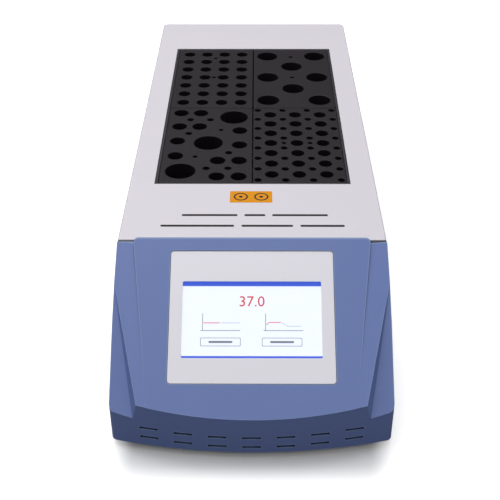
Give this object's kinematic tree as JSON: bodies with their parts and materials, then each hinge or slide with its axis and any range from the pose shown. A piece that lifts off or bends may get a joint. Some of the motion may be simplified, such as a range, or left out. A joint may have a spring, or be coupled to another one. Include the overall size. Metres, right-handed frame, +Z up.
{
  "type": "dry block heater",
  "caption": "Benchtop dry block heater: grey cover, blue front housing with a sloped touch screen, and lift-out drilled black blocks in a heated well.",
  "frame": {"origin": "on the bench, under the middle of the machine's footprint", "axes": "+Z up, +Y towards the back, the sloped control panel faces -Y, +X to the right of a person at the panel"},
  "size_m": [0.1994, 0.5322, 0.1145],
  "materials": {
    "cover_paint": "fine textured light grey powder coat",
    "housing_blue": "fine spark-eroded moulded texture, mid blue",
    "bezel_grey": "satin light grey",
    "screen": "clear touch panel over a lit display",
    "anodised_black": "black anodised, bead blasted",
    "liner_black": "matt black",
    "aluminium": "milled",
    "steel": "plain",
    "zinc_sheet": "zinc plated sheet",
    "rubber": "matt moulded",
    "black_plastic": "moulded",
    "wool": "ceramic wool",
    "silicone": "woven silicone heater",
    "board": "solder mask",
    "copper": "windings and terminals",
    "ribbon": "flat cable",
    "terminal": "moulded",
    "glass": "clear",
    "label": "satin foil"
  },
  "bodies": {
    "chassis": {"base_tray": "zinc_sheet", "board_standoff_back_left": "steel", "board_standoff_back_right": "steel", "board_standoff_front_left": "steel", "board_standoff_front_right": "steel", "control_board": "board", "cover_screw_left_back": "steel", "cover_screw_left_front": "steel", "cover_screw_right_back": "steel", "cover_screw_right_front": "steel", "display_board": "board", "display_bracket": "zinc_sheet", "display_ribbon": "ribbon", "earth_stud": "copper", "foot_back_left": "rubber", "foot_back_right": "rubber", "foot_front_left": "rubber", "foot_front_right": "rubber", "front_housing": "housing_blue", "heater_mat": "silicone", "heater_pan": "zinc_sheet", "heater_plate": "aluminium", "inlet_socket": "black_plastic", "insulation_pad": "wool", "insulation_wrap": "wool", "lcd_module": "steel", "pan_standoff_back_left": "steel", "pan_standoff_back_right": "steel", "pan_standoff_front_left": "steel", "pan_standoff_front_right": "steel", "rating_plate": "label", "rear_panel": "cover_paint", "relay_heat_sink": "aluminium", "screen_bezel": "bezel_grey", "solid_state_relay": "black_plastic", "switch_case": "black_plastic", "temperature_sensor": "steel", "terminal_block": "terminal", "thermal_cutout": "black_plastic", "top_cover": "cover_paint", "touch_glass": "screen", "transformer": "copper", "well_liner": "liner_black"},
    "front_right_block": {"block_front_right": "anodised_black"},
    "front_left_block": {"block_front_left": "anodised_black"},
    "back_right_block": {"block_back_right": "anodised_black"},
    "back_left_block": {"block_back_left": "anodised_black"},
    "fuse_carrier": {"fuse_drawer": "black_plastic", "fuse_left": "glass", "fuse_right": "glass"},
    "rocker": {"power_rocker": "black_plastic"}
  },
  "joints": [
    {"name": "front_right_block_lift", "type": "slide", "parent": "chassis", "child": "front_right_block", "axis": [0, 0, 1], "range_m": [0, 0.06]},
    {"name": "front_left_block_lift", "type": "slide", "parent": "chassis", "child": "front_left_block", "axis": [0, 0, 1], "range_m": [0, 0.06]},
    {"name": "back_right_block_lift", "type": "slide", "parent": "chassis", "child": "back_right_block", "axis": [0, 0, 1], "range_m": [0, 0.06]},
    {"name": "back_left_block_lift", "type": "slide", "parent": "chassis", "child": "back_left_block", "axis": [0, 0, 1], "range_m": [0, 0.06]},
    {"name": "fuse_drawer_slide", "type": "slide", "parent": "chassis", "child": "fuse_carrier", "axis": [0, 1, 0], "range_m": [0, 0.02]},
    {"name": "power_switch", "type": "hinge", "parent": "chassis", "child": "rocker", "pos_m": [-0.008, 0.2602, 0.052], "axis": [-1, 0, 0], "range_deg": [0, 22]}
  ]
}
